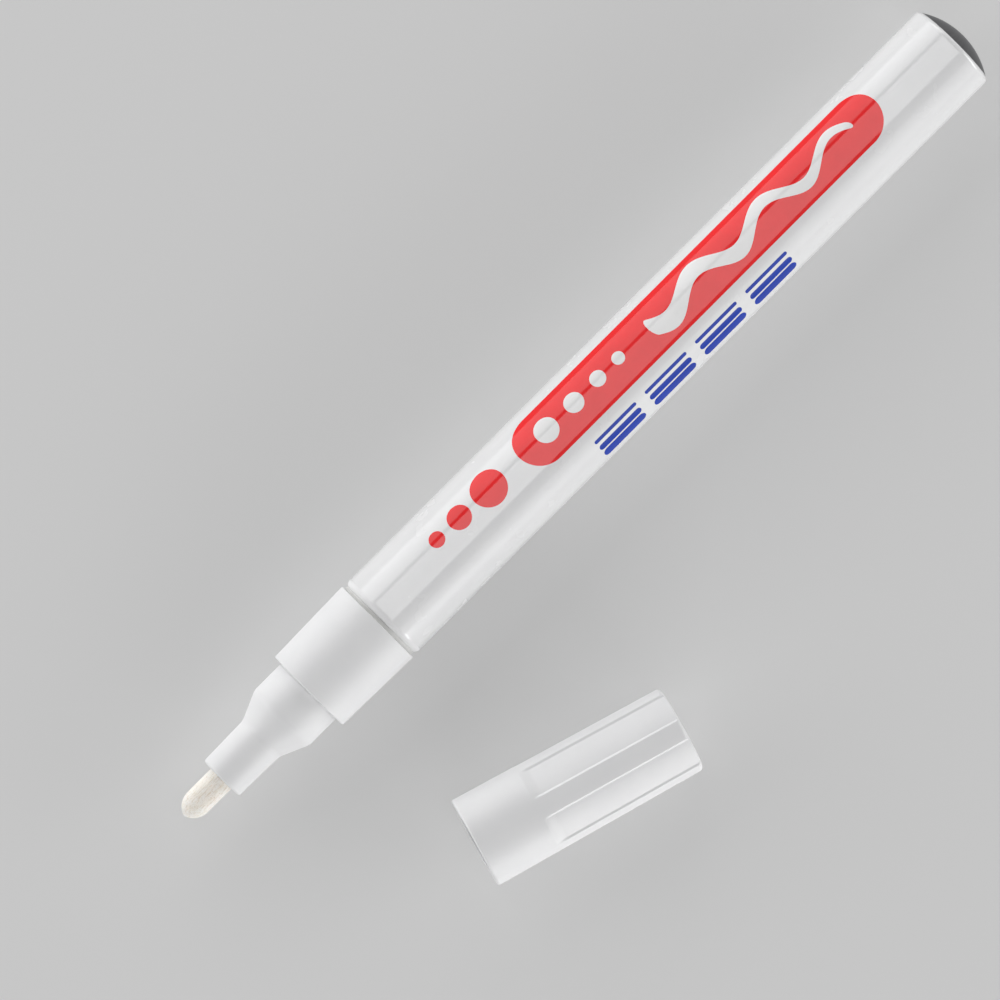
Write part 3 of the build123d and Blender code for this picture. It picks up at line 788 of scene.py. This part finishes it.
# Inner cup that seals round the nose
CUP_MOUTH, CUP_RADIUS, CUP_BORE, CUP_FLOOR, CUP_CHAMFER = 11.55, 4.29, 3.17, 26.7, 0.4
cup_line = rounded([(CAP_FLOOR, 0, 0), (CAP_FLOOR, CUP_RADIUS, 0.3), (CUP_MOUTH, CUP_RADIUS, 0.15),
                    (CUP_MOUTH, CUP_BORE + CUP_CHAMFER, 0.08), (CUP_MOUTH + CUP_CHAMFER, CUP_BORE, 0.15),
                    (CUP_FLOOR, CUP_BORE, 0.5), (CUP_FLOOR, 0, 0)])
cup_mesh = turned("cap_inner_cup", cup_line)
piece("cap_inner_cup", cup_mesh, "cap", LINER_PLASTIC, ["cap_liner"], place=cap_place)


# Solids of the valve, which keep their shape

for name, finish in (("valve_seat", RUBBER), ("valve_stem", VALVE_PLASTIC), ("valve_cage", VALVE_PLASTIC)):
    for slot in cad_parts[name].material_slots:
        slot.material = finish


# Studio, in metres

PICTURE_RIGHT = Vector((-0.7065, 0.7077, 0))
TENT, TENT_MIDDLE, WORLD, BACKDROP = 1.2, (0.03, 0.01, 0), 0.005, 0.5
FLOOR_Z, FLOOR_HALF, FLOOR_SEEN, FLOOR_GLOW = -COLLAR * MM, 3.0, 0.30, 0.36
# Overhead and side strips: name, lowest and highest angle, radiance, middle along X, width
STRIPS = (
    ("overhead", -34, 22, 2.3, -0.06, 0.27),
    ("side_left", -89, -42, 1.6, 0.0, 3.0),
    ("side_right", 50, 89, 0.66, 0.0, 3.0),
)
# Low soft boxes: name, bearing, lowest and highest angle, radiance, width
SOFTBOXES = (
    ("box_right", 0, 1, 22, 4.5, 1.0),
    ("box_far", 90, 1, 22, 1.9, 1.0),
    ("box_left", 180, 1, 22, 3.0, 1.0),
    ("box_near", 290, 1, 22, 5.1, 1.0),
)


def light_path(tree):
    """1 for rays that show the background: straight, mirrored or through glass."""
    path = tree.nodes.new("ShaderNodeLightPath")
    seen = Field(tree, path.outputs["Is Camera Ray"])
    for label in ("Is Glossy Ray", "Is Transmission Ray"):
        seen = seen.maths("MAXIMUM", path.outputs[label])
    return seen


def pale_floor():
    """Wide pale floor, lifted towards white where it is seen, with the shadow kept."""
    work = bmesh.new()
    bmesh.ops.create_grid(work, x_segments=8, y_segments=8, size=FLOOR_HALF)
    mesh = bpy.data.meshes.new("floor")
    work.to_mesh(mesh)
    work.free()
    mesh.transform(Matrix.Translation((0, 0, FLOOR_Z)))
    made = bpy.data.objects.new("floor", mesh)
    bpy.context.scene.collection.objects.link(made)
    finish, tree, shader, spot = new_finish("pale_floor", Specular_IOR_Level=0.0)
    seen = light_path(tree)
    paper = effect(tree, TINT, Place=spot, Light=colour(0.86, 0.86, 0.86), Dark=colour(0.85, 0.85, 0.85),
                   Size=60.0)
    grey = colour(FLOOR_SEEN, FLOOR_SEEN, FLOOR_SEEN)
    put(tree, shader.inputs["Base Color"], blend(tree, seen, paper, grey))
    put(tree, shader.inputs["Roughness"], effect(tree, MOTTLE, Place=spot, Size=40.0, Low=0.8, High=0.9))
    shader.inputs["Emission Color"].default_value = colour(1, 1, 1)
    put(tree, shader.inputs["Emission Strength"], seen * FLOOR_GLOW)
    finish.cycles.emission_sampling = "NONE"
    mesh.materials.append(finish)


def studio_world():
    """Almost dark surroundings, with a pale backdrop where they are seen."""
    world = bpy.data.worlds.new("studio")
    world.use_nodes = True
    bpy.context.scene.world = world
    tree = world.node_tree
    back = tree.nodes["Background"]
    back.inputs["Color"].default_value = colour(1, 1, 1)
    put(tree, back.inputs["Strength"], light_path(tree).between(WORLD, BACKDROP))
    world.cycles.sampling_method = "NONE"


def lamp(name, stand, low, high, radiance, width):
    """Soft rectangular lamp up the Z of its stand, as high as the angles between which it is seen."""
    height = 2 * TENT * math.tan(math.radians(high - low) / 2)
    light = bpy.data.lights.new(name, "AREA")
    light.shape = "RECTANGLE"
    light.size, light.size_y = width, height
    light.energy = radiance * math.pi * width * height
    made = bpy.data.objects.new(name, light)
    made.matrix_world = stand @ Matrix.Translation((0, 0, TENT))
    made.visible_camera = False
    bpy.context.scene.collection.objects.link(made)


def strip(name, low, high, radiance, middle, width):
    """Lamp along X overhead, between two angles from straight up towards +Y."""
    turn = math.radians(low + high) / 2
    stand = Matrix.Translation((middle, 0, 0)) @ Matrix.Rotation(-turn, 4, "X")
    lamp(name, stand, low, high, radiance, width)


def softbox(name, bearing, low, high, radiance, width):
    """Lamp at the side, by its bearing in the picture (0 is right, 90 is up) and its heights in degrees."""
    turn = math.radians(low + high) / 2
    heading = math.atan2(PICTURE_RIGHT.y, PICTURE_RIGHT.x) + math.radians(bearing)
    stand = (Matrix.Translation(TENT_MIDDLE) @ Matrix.Rotation(heading - QUARTER_TURN, 4, "Z")
             @ Matrix.Rotation(turn - QUARTER_TURN, 4, "X"))
    lamp(name, stand, low, high, radiance, width)


pale_floor()
studio_world()
for row in STRIPS:
    strip(*row)
for row in SOFTBOXES:
    softbox(*row)


# Camera, in millimetres: almost straight above, with the marker along the picture's diagonal

VIEW_WIDTH = 121.457
aim, eye = Vector((29.134, 0.064, 0)), Vector((47.034, -0.086, 978))
view_back = (eye - aim).normalized()
view_right = (PICTURE_RIGHT - view_back * PICTURE_RIGHT.dot(view_back)).normalized()
camera = bpy.data.cameras.new("camera")
camera.sensor_width = 36.0
camera.lens = camera.sensor_width * (eye - aim).length / VIEW_WIDTH
camera.dof.use_dof = False
camera_object = bpy.data.objects.new("camera", camera)
camera_object.matrix_world = Matrix.Translation(eye * MM) @ facing(view_right, view_back)
bpy.context.scene.collection.objects.link(camera_object)
bpy.context.scene.camera = camera_object
bpy.context.scene.view_settings.view_transform = "Standard"
